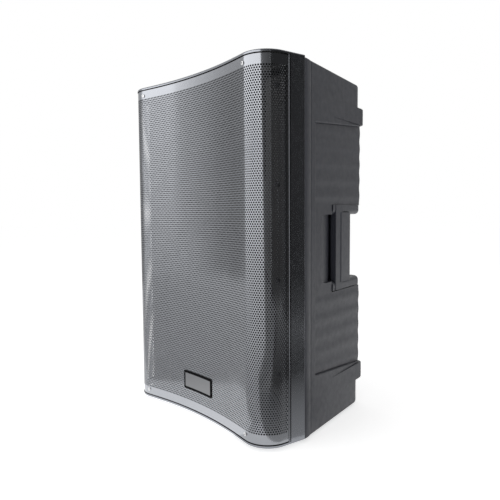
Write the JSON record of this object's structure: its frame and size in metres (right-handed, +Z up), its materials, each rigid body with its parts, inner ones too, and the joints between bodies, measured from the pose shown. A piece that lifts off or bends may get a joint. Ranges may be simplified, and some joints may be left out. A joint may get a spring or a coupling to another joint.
{
  "type": "pa speaker cabinet",
  "caption": "Upright two-way loudspeaker cabinet with a wave-shaped perforated grille, tapered ribbed sides, corner bar handles, a pole socket and a rear amplifier panel.",
  "frame": {"origin": "on the floor under the middle of the cabinet's box, feet included", "axes": "+Z up, front facing -Y, +X to the right of someone facing the front"},
  "size_m": [0.452, 0.344, 0.696],
  "materials": {
    "shell_plastic": "fine grained moulded",
    "black_plastic": "satin moulded",
    "black_rubber": "matte",
    "fastener_steel": "plain zinc",
    "grille_steel": "satin powder coat",
    "badge_black": "gloss",
    "badge_silver": "brushed",
    "grey_foam": "open wadding",
    "black_metal": "die cast, satin paint",
    "black_cloth": "doped cloth",
    "cone_pulp": "pressed paper pulp",
    "copper": "wound wire",
    "amber_cloth": "impregnated cloth",
    "plain_steel": "zinc plated",
    "ferrite": "ground ceramic",
    "thin_metal": "thin sheet",
    "panel_metal": "fine texture paint",
    "sink_aluminium": "black anodised",
    "circuit_board": "lacquered",
    "winding": "taped winding",
    "knob_plastic": "soft touch",
    "socket_plastic": "moulded",
    "red_plastic": "moulded",
    "pale_plastic": "moulded",
    "lamp_plastic": "clear moulded"
  },
  "bodies": {
    "cabinet": {"front_shell": "shell_plastic", "rear_shell": "shell_plastic", "shell_gasket": "black_rubber", "shell_screws": "fastener_steel", "front_grille": "grille_steel", "grille_screws": "fastener_steel", "badge_frame": "badge_black", "badge_plate": "badge_silver", "handle_grip_left": "shell_plastic", "handle_grip_right": "shell_plastic", "handle_screws": "fastener_steel", "rubber_feet": "black_rubber", "pole_socket": "black_plastic", "pole_socket_screws": "fastener_steel", "damping_foam": "grey_foam", "woofer_frame": "black_metal", "woofer_gasket": "black_rubber", "woofer_surround": "black_cloth", "woofer_spider": "amber_cloth", "woofer_top_plate": "plain_steel", "woofer_magnet": "ferrite", "woofer_yoke": "plain_steel", "woofer_screws": "fastener_steel", "horn_flare": "black_plastic", "horn_screws": "fastener_steel", "driver_yoke": "plain_steel", "driver_magnet": "ferrite", "driver_top_plate": "plain_steel", "driver_suspension": "amber_cloth", "driver_cap": "black_plastic", "driver_bolts": "fastener_steel", "port_tube_left": "black_plastic", "port_tube_right": "black_plastic", "amp_panel": "panel_metal", "panel_gasket": "black_rubber", "panel_screws": "fastener_steel", "heat_sink": "sink_aluminium", "amp_board": "circuit_board", "transformer": "winding", "transformer_clamp": "plain_steel", "pot_bodies": "thin_metal", "input_jack_1": "socket_plastic", "input_jack_2": "socket_plastic", "link_output": "socket_plastic", "mains_inlet": "socket_plastic", "switch_housing": "socket_plastic", "button_housing": "socket_plastic", "status_lights": "lamp_plastic"},
    "woofer_motion": {"woofer_cone": "cone_pulp", "dust_cap": "cone_pulp", "voice_coil": "copper"},
    "driver_motion": {"driver_diaphragm": "thin_metal"},
    "knob_1": {"level_knob_1": "knob_plastic"},
    "knob_2": {"level_knob_2": "knob_plastic"},
    "knob_3": {"level_knob_3": "knob_plastic"},
    "latch_1": {"jack_latch_1": "knob_plastic"},
    "latch_2": {"jack_latch_2": "knob_plastic"},
    "rocker": {"power_rocker": "red_plastic"},
    "button": {"mode_button": "pale_plastic"}
  },
  "joints": [
    {"name": "woofer_travel", "type": "slide", "parent": "cabinet", "child": "woofer_motion", "axis": [0, 1, 0], "range_m": [-0.006, 0.006], "stiffness_N_per_m": 6000, "deforming": ["woofer_surround", "woofer_spider"]},
    {"name": "driver_travel", "type": "slide", "parent": "cabinet", "child": "driver_motion", "axis": [0, 1, 0], "range_m": [-0.0004, 0.0004], "stiffness_N_per_m": 3000, "deforming": ["driver_suspension"]},
    {"name": "level_1_turn", "type": "hinge", "parent": "cabinet", "child": "knob_1", "pos_m": [-0.052, 0.152, 0.435], "axis": [0, 1, 0], "range_deg": [-150, 150]},
    {"name": "level_2_turn", "type": "hinge", "parent": "cabinet", "child": "knob_2", "pos_m": [0, 0.152, 0.435], "axis": [0, 1, 0], "range_deg": [-150, 150]},
    {"name": "level_3_turn", "type": "hinge", "parent": "cabinet", "child": "knob_3", "pos_m": [0.052, 0.152, 0.435], "axis": [0, 1, 0], "range_deg": [-150, 150]},
    {"name": "latch_1_press", "type": "slide", "parent": "cabinet", "child": "latch_1", "axis": [0, -1, 0], "range_m": [0, 0.0015], "stiffness_N_per_m": 1500},
    {"name": "latch_2_press", "type": "slide", "parent": "cabinet", "child": "latch_2", "axis": [0, -1, 0], "range_m": [0, 0.0015], "stiffness_N_per_m": 1500},
    {"name": "power_rock", "type": "hinge", "parent": "cabinet", "child": "rocker", "pos_m": [0.034, 0.148, 0.199], "axis": [1, 0, 0], "range_deg": [-14, 0]},
    {"name": "mode_press", "type": "slide", "parent": "cabinet", "child": "button", "axis": [0, -1, 0], "range_m": [0, 0.002], "stiffness_N_per_m": 1200}
  ]
}
